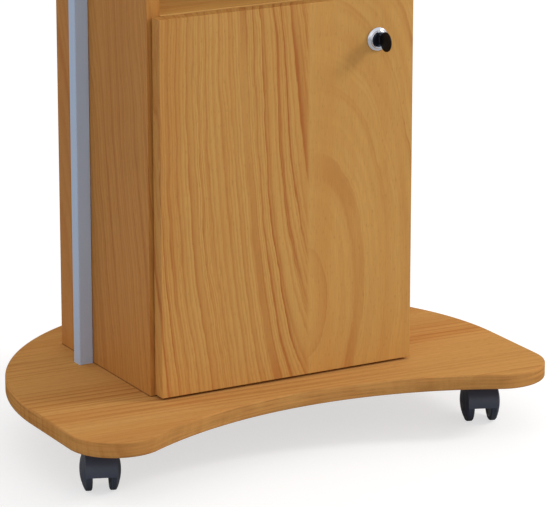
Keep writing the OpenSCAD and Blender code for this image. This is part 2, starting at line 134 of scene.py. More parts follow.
scene.view_settings.view_transform = "Standard"
world = bpy.data.worlds.new("studio")
world.use_nodes = True
sky = world.node_tree
background = sky.nodes["Background"]
background.inputs["Color"].default_value = (1.0, 1.0, 1.0, 1.0)
seen = sky.nodes.new("ShaderNodeLightPath")
strength = sky.nodes.new("ShaderNodeMath")
strength.operation = "MULTIPLY_ADD"
strength.inputs[1].default_value, strength.inputs[2].default_value = SKY_EXTRA_SEEN, SKY_LIGHT
sky.links.new(seen.outputs["Is Camera Ray"], strength.inputs[0])
sky.links.new(strength.outputs[0], background.inputs["Strength"])
scene.world = world

cupboard = Vector((0.0, 0.0, 0.35))
area_light("key", cupboard + 3.2 * Vector((0.76, -0.42, 0.50)), cupboard, size=0.7, watts=38)
area_light("front", cupboard + 3.6 * Vector((-0.10, -0.95, 0.30)), cupboard, size=2.2, watts=4.5)

floor_mesh = bpy.data.meshes.new("floor")
floor_corners = [(x * FLOOR_HALF, y * FLOOR_HALF, 0.0) for x, y in ((-1, -1), (1, -1), (1, 1), (-1, 1))]
floor_mesh.from_pydata(floor_corners, [], [(0, 1, 2, 3)])
floor = bpy.data.objects.new("floor", floor_mesh)
scene.collection.objects.link(floor)
floor_paint = bpy.data.materials.new("floor paint")
floor_paint.use_nodes = True
paint = floor_paint.node_tree.nodes["Principled BSDF"]
paint.inputs["Base Color"].default_value = (FLOOR_GREY, FLOOR_GREY, FLOOR_GREY, 1.0)
paint.inputs["Roughness"].default_value = 0.9
paint.inputs["Emission Strength"].default_value = FLOOR_GLOW
sight = floor_paint.node_tree.nodes.new("ShaderNodeLightPath")
floor_paint.node_tree.links.new(sight.outputs["Is Camera Ray"], paint.inputs["Emission Color"])
floor_mesh.materials.append(floor_paint)
print("studio ready")

# %% [markdown]
# ## Surfaces from a grid
# Apart from three copies of packed panels, every new piece is one grid of points: rows along a profile,
# columns round a closed path. A slab, a turned part and a hand knob only differ in the formula that fills
# the grid. The helper below joins neighbouring points into quads, closes the two ends, and turns the faces
# outwards if the grid was wound the other way.

# %% Grid to mesh
def surface(name, points, ring=False, crease=40.0, rim=None):
    """Makes a closed mesh from points[row, column]. Columns always join up; with ring the rows do too.

    Without ring the first and the last row are each closed by one flat face. Edges that turn by more than
    crease degrees stay sharp. rim, one number per row, is kept on the points as how much of an edge it is.
    """
    rows, cols = points.shape[:2]
    row = np.arange(rows if ring else rows - 1)[:, None]
    col = np.arange(cols)[None, :]
    a, b = row * cols + col, row * cols + (col + 1) % cols
    c, d = (row + 1) % rows * cols + (col + 1) % cols, (row + 1) % rows * cols + col
    faces = np.stack([a, b, c, d], axis=-1).reshape(-1, 4).tolist()
    if not ring:
        faces += [list(range(cols))[::-1], list(range((rows - 1) * cols, rows * cols))]
    mesh = bpy.data.meshes.new(name)
    mesh.from_pydata(points.reshape(-1, 3).tolist(), [], faces)
    shape = bmesh.new()
    shape.from_mesh(mesh)
    volume = shape.calc_volume(signed=True)
    if volume < 0:
        bmesh.ops.reverse_faces(shape, faces=shape.faces)
        shape.to_mesh(mesh)
    shape.free()
    smooth = np.ones(len(faces), bool)
    if not ring:
        smooth[-2:] = False
    mesh.polygons.foreach_set("use_smooth", smooth)
    mesh.set_sharp_from_angle(angle=math.radians(crease))
    if rim is not None:
        layer = mesh.attributes.new("rim", "FLOAT", "POINT")
        layer.data.foreach_set("value", np.repeat(np.asarray(rim, np.float32), cols))
    mesh.update()
    piece = bpy.data.objects.new(name, mesh)
    scene.collection.objects.link(piece)
    print(f"{name}: {len(faces)} faces, {abs(volume) * 1e6:.1f} cm3")
    return piece


def axes(origin, u, v):
    """A 4x4 place whose first two axes are u and v, and whose third is u x v."""
    u, v = Vector(u).normalized(), Vector(v).normalized()
    place = Matrix((u, v, u.cross(v))).transposed().to_4x4()
    place.translation = Vector(origin)
    return np.array(place)


def put(points, place):
    """Moves points, in the last axis of an array, by a 4x4 place."""
    return points @ place[:3, :3].T + place[:3, 3]


# %% [markdown]
# ## Boards
# The boards are laminated chipboard with a hard plastic lipping whose corners are routed to a small radius.
# A cube with a Bevel modifier would do for a plain one, but not for the horseshoe plan of the base. One
# formula covers them all: the outline is drawn inwards and lifted along two quarter circles, which leaves
# flat faces between softly rounded edges that catch a thin line of light.

# %% Slab
LIP, CORNER_SPARE = 0.0004, 0.0006


def rectangle(width, depth, radius, steps=6):
    """A rounded rectangle's points and outward normals: each corner is a quarter circle about its centre."""
    turn = np.linspace(0, math.pi / 2, steps + 1)
    angle = (np.arange(4)[:, None] * math.pi / 2 + turn[None, :]).ravel()
    normal = np.stack([np.cos(angle), np.sin(angle)], axis=1)
    quarter = np.repeat(np.array([[1, 1], [-1, 1], [-1, -1], [1, -1]]), steps + 1, axis=0)
    corner = quarter * np.array([width / 2 - radius, depth / 2 - radius])
    return corner + radius * normal, normal


def slab(name, outline, normal, low, high, edge, place, steps=5):
    """A board between heights low and high, with edges rounded to a radius of edge.

    Row k is outline - normal * e(k) at height h(k). On the lower quarter e = edge (1 - sin t) and
    h = low + edge (1 - cos t) for t from 0 to 90 degrees; the upper quarter mirrors it. One more row on each
    flat face, LIP further in, keeps the shading of the round off the flat.
    """
    t = np.linspace(0, math.pi / 2, steps + 1)
    inwards, lift = edge * (1 - np.sin(t)), edge * (1 - np.cos(t))
    lip = edge + LIP
    e = np.concatenate([[lip], inwards, inwards[::-1], [lip]])
    h = np.concatenate([[low], low + lift, high - lift[::-1], [high]])
    flat = outline[None, :, :] - normal[None, :, :] * e[:, None, None]
    height = np.broadcast_to(h[:, None, None], (*flat.shape[:2], 1))
    rim = np.concatenate([[0, 0.5], np.ones(2 * steps), [0.5, 0]])
    return surface(name, put(np.concatenate([flat, height], axis=2), place), rim=rim)


def board(node, thin, edge):
    """Replaces a plain CAD board by a slab of the same box, thin along axis thin (0, 1 or 2).

    The plan's corners are rounder than its edges by more than LIP, so that no row folds over itself.
    """
    low, high = (np.array(c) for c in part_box(node))
    u, v = [(1, 2), (2, 0), (0, 1)][thin]
    middle, size = (low + high) / 2, high - low
    unit = np.eye(3)
    outline, normal = rectangle(size[u], size[v], edge + CORNER_SPARE)
    piece = slab(node + "_board", outline, normal, -size[thin] / 2, size[thin] / 2, edge,
                 axes(middle, unit[u], unit[v]))
    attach(piece, body_of[node])
    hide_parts(node)
    return piece


body_of = {node: body for body, members in frame["record"]["behaviour"]["bodies"].items() for node in members}
bottom_board = board("bottom_panel", thin=2, edge=0.0006)
fixed_shelf = board("divider_shelf", thin=2, edge=0.0010)
top_board = board("top_panel", thin=2, edge=0.0012)
free_shelf = board("loose_shelf", thin=2, edge=0.0010)
back_board = board("back_panel", thin=1, edge=0.0008)

# %% [markdown]
# ## Base board
# The base board's plan is a semicircle at the back, two straight sides, two round lobes for the front
# casters, and a hollow in front for the speaker's feet. All its arcs meet without a corner, so the outline
# is worked out as one row of arcs, each with its outward normal.

# %% Base board
def arc(centre, radius, start, end, count):
    """Points and outward normals of an arc; with a negative radius the board lies outside the circle."""
    angle = np.radians(np.linspace(start, end, count, endpoint=False))
    ray = np.stack([np.cos(angle), np.sin(angle)], axis=1)
    return np.array(centre) + abs(radius) * ray, ray * np.sign(radius)


base_low, base_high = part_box("base_panel")
half_w, half_d = base_high.x, base_high.y
lobe, hollow, SIDE_POINTS = 0.058, 0.480, 12
back_centre = half_d - half_w
lobe_x, lobe_y = half_w - lobe, -half_d + lobe
hollow_y = lobe_y - math.sqrt((hollow + lobe) ** 2 - lobe_x**2)
meet = math.degrees(math.atan2(lobe_y - hollow_y, lobe_x))
side_run = np.linspace(0, 1, SIDE_POINTS, endpoint=False)[:, None]
side_length = np.array([0, back_centre - lobe_y])
right_side = np.array([half_w, lobe_y]) + side_run * side_length
left_side = np.array([-half_w, back_centre]) - side_run * side_length
runs = [
    arc((0, back_centre), half_w, 0, 180, 150),
    (left_side, np.tile([-1.0, 0.0], (SIDE_POINTS, 1))),
    arc((-lobe_x, lobe_y), lobe, 180, 360 - meet, 48),
    arc((0, hollow_y), -hollow, 180 - meet, meet, 96),
    arc((lobe_x, lobe_y), lobe, 180 + meet, 360, 48),
    (right_side, np.tile([1.0, 0.0], (SIDE_POINTS, 1))),
]
base_outline = np.concatenate([run[0] for run in runs])
base_normal = np.concatenate([run[1] for run in runs])
base_board = slab("base_board", base_outline, base_normal, base_low.z, base_high.z, edge=0.0020,
                  place=np.eye(4), steps=6)
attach(base_board, body_of["base_panel"])
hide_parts("base_panel")
step = np.linalg.norm(np.roll(base_outline, -1, axis=0) - base_outline, axis=1)
print("outline points", len(base_outline), "longest step mm", round(step.max() * 1000, 1))

# %% [markdown]
# ## Reading desk and ledge
# The desk is a board with generous corners, and a low ledge along its lower edge keeps a book from sliding
# off. Both are worked out level, about the tilting axis, and are then turned by the resting slope.

# %% Reading desk
pivot = Vector(joints["desk_tilt"]["pos_m"])
REST_SLOPE = 15
slope = math.radians(REST_SLOPE)
desk_place = axes(pivot, (1, 0, 0), (0, math.cos(slope), math.sin(slope)))


def level_box(node):
    """A desk node's lowest and highest corner about the pivot, as if the desk were level."""
    co = np.empty(len(nodes[node].data.vertices) * 3, np.float32)
    nodes[node].data.vertices.foreach_get("co", co)
    flat = (co.reshape(-1, 3) - desk_place[:3, 3]) @ desk_place[:3, :3]
    return flat.min(0), flat.max(0)


def desk_slab(name, node, corner, edge):
    """A slab in the tilted desk's own axes, in the box of a CAD node."""
    low, high = level_box(node)
    outline, normal = rectangle(high[0] - low[0], high[1] - low[1], corner, steps=16)
    place = desk_place.copy()
    place[:3, 3] = put(np.array([(low[0] + high[0]) / 2, (low[1] + high[1]) / 2, 0]), desk_place)
    piece = slab(name, outline, normal, low[2], high[2], edge, place)
    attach(piece, "desk")
    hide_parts(node)
    return piece


desk_top = desk_slab("desk_top", "desk_panel", corner=0.040, edge=0.0028)
book_ledge = desk_slab("book_ledge", "desk_ledge", corner=0.0065, edge=0.0030)

# %% [markdown]
# ## Door and side panels
# The door has two hinge cups and the lock's bore let into it, and the side panels have rows of shelf holes.
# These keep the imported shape. A copy of each is merged into one skin, its flat parts are cleaned of
# needless edges, and a Bevel modifier eases the corners by about a millimetre, as an edge trimmer does.

# %% Eased copies
def eased(name, node, width, segments=3):
    """A merged copy of a CAD node with eased edges, riding on the same body."""
    mesh = nodes[node].data.copy()
    shape = bmesh.new()
    shape.from_mesh(mesh)
    bmesh.ops.remove_doubles(shape, verts=shape.verts, dist=1e-6)
    bmesh.ops.dissolve_limit(shape, angle_limit=math.radians(1), verts=shape.verts, edges=shape.edges)
    shape.to_mesh(mesh)
    count = len(shape.faces)
    shape.free()
    mesh.materials.clear()
    mesh.polygons.foreach_set("use_smooth", np.ones(len(mesh.polygons), bool))
    mesh.set_sharp_from_angle(angle=math.radians(40))
    piece = bpy.data.objects.new(name, mesh)
    scene.collection.objects.link(piece)
    bevel = piece.modifiers.new("eased edges", "BEVEL")
    bevel.width, bevel.segments = width, segments
    bevel.limit_method, bevel.angle_limit = "ANGLE", math.radians(50)
    bevel.harden_normals = True
    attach(piece, body_of[node])
    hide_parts(node)
    print(f"{name}: {count} faces before easing")
    return piece


door_leaf = eased("door_leaf", "door", width=0.0014)
left_side_panel = eased("left_side", "side_panel_left", width=0.0009)
right_side_panel = eased("right_side", "side_panel_right", width=0.0009)

# %% [markdown]
# ## Turned and moulded parts
# Wheels, the lock's rosette and the door's buffers are round, so a profile is carried round an axis. Real
# mouldings have no knife edges: a short curve replaces each corner of a profile before it is turned.

# %% Profiles
def soften(corners, cut, closed=False, steps=4):
    """Rounds the corners of a polyline.

    Each corner P becomes (1-s)^2 A + 2s(1-s) P + s^2 B, where A and B lie cut before and after P, but never
    beyond 45% of the shorter side. The ends of an open line stay.
    """
    p = np.asarray(corners, float)
    before, after = np.roll(p, 1, axis=0) - p, np.roll(p, -1, axis=0) - p
    reach = np.minimum(cut, 0.45 * np.minimum(np.linalg.norm(before, axis=1), np.linalg.norm(after, axis=1)))
    a = p + before / np.linalg.norm(before, axis=1)[:, None] * reach[:, None]
    b = p + after / np.linalg.norm(after, axis=1)[:, None] * reach[:, None]
    s = np.linspace(0, 1, steps + 1)[None, :, None]
    curve = (1 - s) ** 2 * a[:, None] + 2 * s * (1 - s) * p[:, None] + s**2 * b[:, None]
    if closed:
        return curve.reshape(-1, 2)
    return np.concatenate([p[:1], curve[1:-1].reshape(-1, 2), p[-1:]])


def turned(name, profile, place, ring=False, steps=72, lobes=None, crease=40.0):
    """Carries a profile of (radius, height) round the third axis of place.

    lobes, if given, is a function of the angle. The radius of each row is multiplied by 1 + depth * lobes,
    where depth is the row's third number.
    """
    angle = np.linspace(0, 2 * math.pi, steps, endpoint=False)
    radius = np.broadcast_to(profile[:, :1], (len(profile), steps))
    if lobes is not None:
        radius = radius * (1 + profile[:, 2:3] * lobes(angle)[None, :])
    points = np.stack([radius * np.cos(angle), radius * np.sin(angle),
                       np.broadcast_to(profile[:, 1:2], radius.shape)], axis=-1)
    return surface(name, put(points, place), ring=ring, crease=crease)


# %% [markdown]
# ## Caster wheels
# Each caster has two wheels with a clear gap between them. A wheel is one nylon moulding: a narrow tread, a
# sunk ring on its inner face, and a bulging outer cap with two shallow moulded grooves. The profile is the
# same for all eight and is written in millimetres.

# %% Wheels
def wheel_profile():
    """Radius and distance along the axle: bore, sunk inner face, tread with two fine grooves, domed cap."""
    inner = [(0.05, 19.4), (2.62, 19.4), (2.62, 10.0), (7.0, 10.0), (7.8, 11.1), (18.6, 11.1), (19.6, 10.0),
             (23.6, 10.0), (24.9, 11.3), (24.95, 12.7), (24.5, 12.95), (24.95, 13.2), (25.0, 14.7),
             (24.55, 14.95), (24.95, 15.2), (24.9, 16.7), (23.8, 17.95)]
    rim, high = 23.4, 5.45
    cap = (rim**2 + high**2) / (2 * high)
    r = np.linspace(rim, 0.05, 26)
    z = 18.05 + high - cap + np.sqrt(cap**2 - r**2)
    z -= 0.45 * np.exp(-((r - 15.5) / 0.7) ** 2) + 0.35 * np.exp(-((r - 4.2) / 0.6) ** 2)
    line = np.concatenate([soften(inner, 0.35, steps=3), np.stack([r, z], axis=1)])
    return line / 1000


CORNERS = ("fl", "fr", "rl", "rr")
wheels = []
for corner in CORNERS:
    for half, sign in (("a", -1), ("b", 1)):
        joint = joints[f"roll_{corner}_{half}"]
        axle = Vector(joint["axis"]) * sign
        place = axes(joint["pos_m"], (0, 0, 1), axle.cross(Vector((0, 0, 1))))
        wheel = turned(f"wheel_{corner}_{half}", wheel_profile(), place, crease=50)
        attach(wheel, f"wheel_{corner}_{half}")
        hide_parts(f"caster_{corner}_wheel_{half}")
        wheels.append(wheel)

# %% [markdown]
# ## Lock
# The lock's rosette is a stepped chrome ring round a dark plug. Its steps are what catch the light, so the
# ring is turned with small radii. The key's round grip is a moulded disc with a short neck.

# %% Lock ring, nut and key grip
NECK_HALF, GRIP_HALF_THICK = 0.005, 0.0012
lock = Vector(joints["key_turn"]["pos_m"])
door_low, door_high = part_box("door")
front, rear = door_low.y, door_high.y
to_speaker = axes((lock.x, front, lock.z), (1, 0, 0), (0, 0, 1))
ring_profile = soften([(8.12, 4.8), (8.7, 5.0), (10.0, 5.0), (10.5, 4.5), (10.5, 3.3), (11.2, 2.8),
                       (12.9, 2.4), (14.0, 1.5), (14.0, 0.0), (9.5, 0.0), (9.5, -24.4), (8.12, -24.4)],
                      0.45, closed=True)
rosette = turned("lock_ring", ring_profile / 1000, to_speaker, ring=True, steps=96)
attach(rosette, "door")
nut_profile = soften([(8.2, 0.0), (11.7, 0.0), (11.7, 4.0), (8.2, 4.0)], 0.4, closed=True)
nut_profile = np.column_stack([nut_profile / 1000, (nut_profile[:, 0] > 9.0) * 1.0])


def hexagon(angle):
    """How far a hexagon's edge lies beyond its inner circle, as a share of the radius."""
    return 1 / np.cos(np.mod(angle, math.pi / 3) - math.pi / 6) - 1


nut = turned("lock_nut", nut_profile, axes((lock.x, rear, lock.z), (0, 0, 1), (1, 0, 0)), ring=True,
             lobes=hexagon)
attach(nut, "door")
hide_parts("lock_body")
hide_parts("lock_body")

grip_low, grip_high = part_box("key_head")
grip_r = (grip_high.z - grip_low.z) / 2
neck = math.degrees(math.asin(NECK_HALF / grip_r))
rim_angle = np.radians(np.linspace(neck, 360 - neck, 80))
disc = np.stack([np.cos(rim_angle), np.sin(rim_angle)], axis=1) * grip_r
neck_end = grip_high.y - (grip_low.y + grip_r)
grip_outline = np.concatenate([disc, np.array([[neck_end, -NECK_HALF], [neck_end, NECK_HALF]])])
side = np.roll(grip_outline, -1, axis=0) - np.roll(grip_outline, 1, axis=0)
grip_normal = np.stack([side[:, 1], -side[:, 0]], axis=1) / np.linalg.norm(side, axis=1)[:, None]
grip = slab("key_grip", grip_outline, grip_normal, -GRIP_HALF_THICK, GRIP_HALF_THICK, 0.0008,
            axes((lock.x, grip_low.y + grip_r, lock.z), (0, 1, 0), (0, 0, 1)))
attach(grip, "key")
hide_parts("key_head")

# %% [markdown]
# ## Hand knobs
# Three black moulded knobs clamp the desk's height and slope. Their grip has six shallow hollows for the
# fingers: the radius is multiplied by one minus a little of a rounded cosine along the grip, and stays
# whole at the cap and on the threaded stud.

# %% Hand knobs
HOLLOW_DEPTH, BRACKET_REACH = 0.17, 0.016
HEIGHT_STUD, TILT_STUD = 2.3, 7.9


def fingers(angle):
    """Six hollows round the grip: minus the positive part of cos 6a, to a power that keeps the ribs broad."""
    return -np.maximum(np.cos(6 * angle), 0) ** 1.4


def knob_profile(stud):
    """Radius, height and depth of the finger hollows in each row, from the stud's end to the cap.

    The radius and the height are in metres; the depth is a share of the radius. stud is in millimetres.
    """
    turns = np.arange(0, stud, 0.4)
    thread = np.stack([2.85 + 0.15 * np.cos(math.pi * np.arange(len(turns))), turns - stud], axis=1)
    head = soften([(3.0, 0.0), (3.0, 0.5), (13.4, 0.5), (14.0, 1.6), (14.0, 11.3), (12.6, 12.6), (9.6, 12.9),
                   (9.2, 15.2), (7.4, 16.1), (4.0, 16.4), (0.05, 16.5)], 0.9)
    line = np.concatenate([thread, head])
    on_grip = (line[:, 1] > 0.4) & (line[:, 1] < 12.8) & (line[:, 0] > 11)
    return np.column_stack([line / 1000, np.where(on_grip, HOLLOW_DEPTH, 0.0)])


knobs = []
down_slope = (0, -math.cos(slope), -math.sin(slope))
for node, out, across, reach, stud in (("height_knob_left", (-1, 0, 0), (0, 0, 1), 0.0, HEIGHT_STUD),
                                       ("height_knob_right", (1, 0, 0), (0, 0, 1), 0.0, HEIGHT_STUD),
                                       ("tilt_knob", down_slope, (1, 0, 0), BRACKET_REACH, TILT_STUD)):
    out, across = Vector(out), Vector(across)
    spot = Vector(joints[node + "_turn"]["pos_m"]) + out * reach
    knob = turned(node + "_grip", knob_profile(stud), axes(spot, across, out.cross(across)), steps=96,
                  lobes=fingers, crease=50)
    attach(knob, body_of[node])
    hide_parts(node)
    knobs.append(knob)
    low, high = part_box(node)
    print(node, "CAD box mm", [round(v * 1000, 1) for v in (*low, *high)],
          "piece", [round(v * 1000, 1) for v in (*knob.bound_box[0], *knob.bound_box[6])])

# %% [markdown]
# ## Door buffers
# Two soft clear drops on the back of the door stop it from clicking against the cupboard.

# %% Door buffers
buffers = []
buffer_r = 0.004
buffer_low, buffer_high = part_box("door_buffers")
drop_profile = soften([(0.05, 0.0), (3.95, 0.0), (3.9, 1.1), (2.8, 1.95), (0.05, 2.25)], 0.8) / 1000
for k, height in enumerate((buffer_low.z + buffer_r, buffer_high.z - buffer_r)):
    drop = turned(f"door_buffer_{k}", drop_profile,
                  axes((buffer_high.x - buffer_r, rear, height), (0, 0, 1), (1, 0, 0)), steps=40)
    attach(drop, "door")
    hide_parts("door_buffers")
    buffers.append(drop)

# %% [markdown]
# ## Node helpers
# Materials are built from nodes. These helpers keep the wiring short: one adds a node and connects its
# inputs, and the others do arithmetic, mix or tint colours, ease a value between two limits, and make or
# stretch noise. The last one starts a shader node group with named inputs and outputs, for an effect that
# several materials share.

# %% Node helpers
def add(tree, kind, inputs=None, out=0, **settings):
    """Adds a shader node, sets or links its inputs, and returns one output."""
    node = tree.nodes.new("ShaderNode" + kind)
    for key, value in settings.items():
        setattr(node, key, value)
    for key, value in (inputs or {}).items():
        if isinstance(value, bpy.types.NodeSocket):
            tree.links.new(value, node.inputs[key])
        else:
            node.inputs[key].default_value = value
    return node.outputs[out]


def calc(tree, operation, a, b=0.0, clamp=False):
    """Arithmetic on one or two values."""
    return add(tree, "Math", {0: a, 1: b}, operation=operation, use_clamp=clamp)


def mix(tree, factor, a, b, blend="MIX"):
    """Mixes colour b over colour a by a factor."""
    return add(tree, "Mix", {0: factor, 6: a, 7: b}, out=2, data_type="RGBA", blend_type=blend)


def ramp(tree, value, low, high, bottom=0.0, top=1.0):
    """Eases value from bottom, at low, to top, at high."""
    limits = {0: value, 1: low, 2: high, 3: bottom, 4: top}
    return add(tree, "MapRange", limits, interpolation_type="SMOOTHSTEP")


def tooth(tree, phase, start, peak):
    """Rises from 0 at start to 1 at peak and falls back to 0 at 1, as a year's wood darkens and clears."""
    return calc(tree, "MULTIPLY", ramp(tree, phase, start, peak), ramp(tree, phase, peak, 1.0, 1.0, 0.0))


def sway(tree, value, wave, reach):
    """Moves value by up to half of reach either way, as a wave of 0 to 1 says."""
    return calc(tree, "ADD", value, calc(tree, "MULTIPLY", calc(tree, "SUBTRACT", wave, 0.5), reach))


def tint(tree, colour, mask, low, high, dark, pale):
    """Multiplies a colour by a grey that runs from dark, where mask is low, to pale, where it is high."""
    return mix(tree, 1.0, colour, ramp(tree, mask, low, high, dark, pale), "MULTIPLY")


def noise(tree, vector, scale, detail=2.0, rough=0.5):
    """Soft noise between 0 and 1."""
    return add(tree, "TexNoise", {"Vector": vector, "Scale": scale, "Detail": detail, "Roughness": rough})


def stretch(tree, vector, scale, offset=(0.0, 0.0, 0.0)):
    """Scales and moves coordinates."""
    return add(tree, "Mapping", {"Vector": vector, "Scale": scale, "Location": offset})


def long_noise(tree, vector, scale, detail=2.0, rough=0.5, offset=(0.0, 0.0, 0.0)):
    """Noise with its own scale on each axis, which is drawn out along the axis with the smallest one."""
    return noise(tree, stretch(tree, vector, scale, offset), 1.0, detail, rough)


def new_group(name, inputs, outputs):
    """Starts a shader node group and returns its tree, its input sockets and its output node."""
    group = bpy.data.node_groups.new(name, "ShaderNodeTree")
    for label, kind, value in inputs:
        socket = group.interface.new_socket(label, in_out="INPUT", socket_type="NodeSocket" + kind)
        if value is not None:
            socket.default_value = value
    for label, kind in outputs:
        group.interface.new_socket(label, in_out="OUTPUT", socket_type="NodeSocket" + kind)
    start = group.nodes.new("NodeGroupInput")
    return group, start.outputs, group.nodes.new("NodeGroupOutput")


# %% [markdown]
# ## Beech
# Flat-sawn beech shows the tree's yearly rings cut at a slant. A ring is a cylinder about the heart of the
# tree, so on the board its trace is the set of points with one value of sqrt(across^2 + depth^2), where the
# depth of the heart changes slowly along the grain. That gives tall arches near the heart line and
# near-straight lines beside it. Across each ring the wood darkens slowly and then clears at once, which
# makes a soft dark line with a pale band beside it. Three noises bend the lines: a slow drift, a ripple,
# and a feathering along the fibres. Broad warmer streaks lie under the rings, and fine fibre and the short
# brown flecks that mark beech lie over them.

# %% Beech grain group
def beech_group():
    """Grain in metres: x across, y into the board, z along the grain.

    Lean and Slant are how fast the heart line moves across and deeper along the grain, Heart is its depth at
    z = 0, Rings the number of lines in a metre, and Fine the strength of the fine lines between them.
    """
    group, i, end = new_group("Beech grain", [
        ("Vector", "Vector", None), ("Pale", "Color", srgb(192, 143, 76)),
        ("Ring", "Color", srgb(172, 104, 48)), ("Streak", "Color", srgb(184, 123, 58)),
        ("Fleck", "Color", srgb(140, 86, 42)), ("Lean", "Float", 0.1), ("Heart", "Float", 0.06),
        ("Slant", "Float", 0.1), ("Contrast", "Float", 1.0), ("Fine", "Float", 0.3), ("Rings", "Float", 82.0),
    ], [("Color", "Color"), ("Roughness", "Float"), ("Height", "Float")])
    place = i["Vector"]
    x = add(group, "SeparateXYZ", {0: place})
    y, z = x.node.outputs[1], x.node.outputs[2]
    drift = long_noise(group, place, (5, 5, 1.6), 1.0)
    ripple = long_noise(group, place, (18, 18, 8))
    feather = long_noise(group, place, (210, 210, 24), rough=0.6)
    across = calc(group, "ADD", x, calc(group, "MULTIPLY", z, i["Lean"]))
    for wave, reach in ((drift, 0.075), (ripple, 0.013), (feather, 0.0042)):
        across = sway(group, across, wave, reach)
    depth = calc(group, "ADD", calc(group, "ADD", y, i["Heart"]), calc(group, "MULTIPLY", z, i["Slant"]))
    across_2, depth_2 = calc(group, "MULTIPLY", across, across), calc(group, "MULTIPLY", depth, depth)
    ring = calc(group, "SQRT", calc(group, "ADD", across_2, depth_2))
    uneven = noise(group, add(group, "CombineXYZ", {0: calc(group, "MULTIPLY", ring, 46.0)}), 1.0, 1.0)
    year = calc(group, "ADD", calc(group, "MULTIPLY", ring, i["Rings"]), calc(group, "MULTIPLY", uneven, 2.2))
    line = tooth(group, calc(group, "FRACT", year), 0.42, 0.93)
    fine_year = calc(group, "ADD", calc(group, "MULTIPLY", year, 3.3), ripple)
    fine = tooth(group, calc(group, "FRACT", fine_year), 0.25, 0.85)
    bold = ramp(group, long_noise(group, place, (13, 13, 1.9), 1.5, offset=(3, 1, 7)), 0.38, 0.66, 0.18, 1.0)
    beside = ramp(group, calc(group, "ABSOLUTE", across), 0.004, 0.060, 0.30, 1.0)
    lines = calc(group, "ADD", calc(group, "MULTIPLY", calc(group, "MULTIPLY", line, bold), beside),
                 calc(group, "MULTIPLY", calc(group, "MULTIPLY", fine, i["Fine"]), beside))
    streak = ramp(group, long_noise(group, place, (17, 17, 0.9), 2.5, 0.55, (11, 5, 2)), 0.44, 0.70)
    fibre = long_noise(group, place, (900, 900, 34), rough=0.6)
    fleck = ramp(group, long_noise(group, place, (760, 760, 120), 0.0, offset=(2, 9, 4)), 0.64, 0.80)
    cloud = long_noise(group, place, (9, 9, 3), offset=(1, 2, 3))
    colour = mix(group, calc(group, "MULTIPLY", streak, 0.55), i["Pale"], i["Streak"])
    amount = calc(group, "MULTIPLY", calc(group, "MULTIPLY", lines, i["Contrast"]), 0.62, clamp=True)
    colour = mix(group, amount, colour, i["Ring"])
    colour = mix(group, calc(group, "MULTIPLY", fleck, 0.2), colour, i["Fleck"])
    colour = tint(group, colour, fibre, 0.2, 0.8, 0.93, 1.05)
    colour = tint(group, colour, cloud, 0.25, 0.75, 0.96, 1.04)
    rough = ramp(group, calc(group, "ADD", fibre, lines), 0.2, 1.6, 0.48, 0.60)
    pores = calc(group, "SUBTRACT", fibre, calc(group, "MULTIPLY", fleck, 0.6))
    for result, label in ((colour, "Color"), (rough, "Roughness"), (pores, "Height")):
        group.links.new(result, end.inputs[label])
    return group


beech = beech_group()
print("beech group:", len(beech.nodes), "nodes")

# %% [markdown]
# ## Lipping with painted edge highlight, moulding grain and drawn metal
# Three more effects are shared. Rounded edges show their lipping, whose tone on most boards is lighter than
# the face and so is partly a painted highlight along the rounding: the slabs carry how much of an edge each
# point is, and noise breaks it up. Moulded plastic has a fine spark-eroded grain. Drawn or rolled metal has
# faint lines along one direction.

# %% Shared finish groups
def lipping_highlight_group():
    """A mask of 0 to 1 along rounded edges, broken up by noise, for the lipping tone, which is partly a
    painted highlight.
    """
    group, i, end = new_group("Lipping and painted highlight", [("Vector", "Vector", None), ("Amount", "Float", 0.5)],
                              [("Mask", "Float")])
    rim = add(group, "Attribute", out=2, attribute_name="rim")
    patch = ramp(group, noise(group, i["Vector"], 28.0, 4.0, 0.6), 0.35, 0.75, 0.35, 1.0)
    mask = calc(group, "MULTIPLY", calc(group, "MULTIPLY", rim, patch), i["Amount"], clamp=True)
    group.links.new(mask, end.inputs["Mask"])
    return group


def moulded_group():
    """Fine grain, cloudy gloss and light scuffs of a moulded plastic."""
    group, i, end = new_group("Moulded grain", [("Vector", "Vector", None), ("Grain", "Float", 1400.0)],
                              [("Height", "Float"), ("Gloss", "Float"), ("Scuff", "Float")])
    pits = add(group, "TexVoronoi", {"Vector": i["Vector"], "Scale": i["Grain"]})
    soft = noise(group, i["Vector"], 320.0, 3.0)
    relief = calc(group, "ADD", calc(group, "MULTIPLY", pits, 0.6), calc(group, "MULTIPLY", soft, 0.5))
    cloudy = noise(group, i["Vector"], 42.0, 4.0, 0.6)
    scuffs = ramp(group, long_noise(group, i["Vector"], (60, 900, 500), rough=0.7), 0.64, 0.8)
    for result, label in ((relief, "Height"), (cloudy, "Gloss"), (scuffs, "Scuff")):
        group.links.new(result, end.inputs[label])
    return group


def drawn_group():
    """Fine lines along z, with their height, a patchy gloss and a slow change of tone."""
    group, i, end = new_group("Drawn metal", [("Vector", "Vector", None)],
                              [("Height", "Float"), ("Gloss", "Float"), ("Tint", "Float")])
    fine = long_noise(group, i["Vector"], (2600, 2600, 9), rough=0.65)
    broad = long_noise(group, i["Vector"], (420, 420, 2.2))
    patchy = calc(group, "ADD", calc(group, "MULTIPLY", fine, 0.5), calc(group, "MULTIPLY", broad, 0.5))
    for result, label in ((fine, "Height"), (patchy, "Gloss"), (broad, "Tint")):
        group.links.new(result, end.inputs[label])
    return group


lipping_highlight, moulded, drawn = lipping_highlight_group(), moulded_group(), drawn_group()
print("shared groups:", [group.name for group in (lipping_highlight, moulded, drawn)])
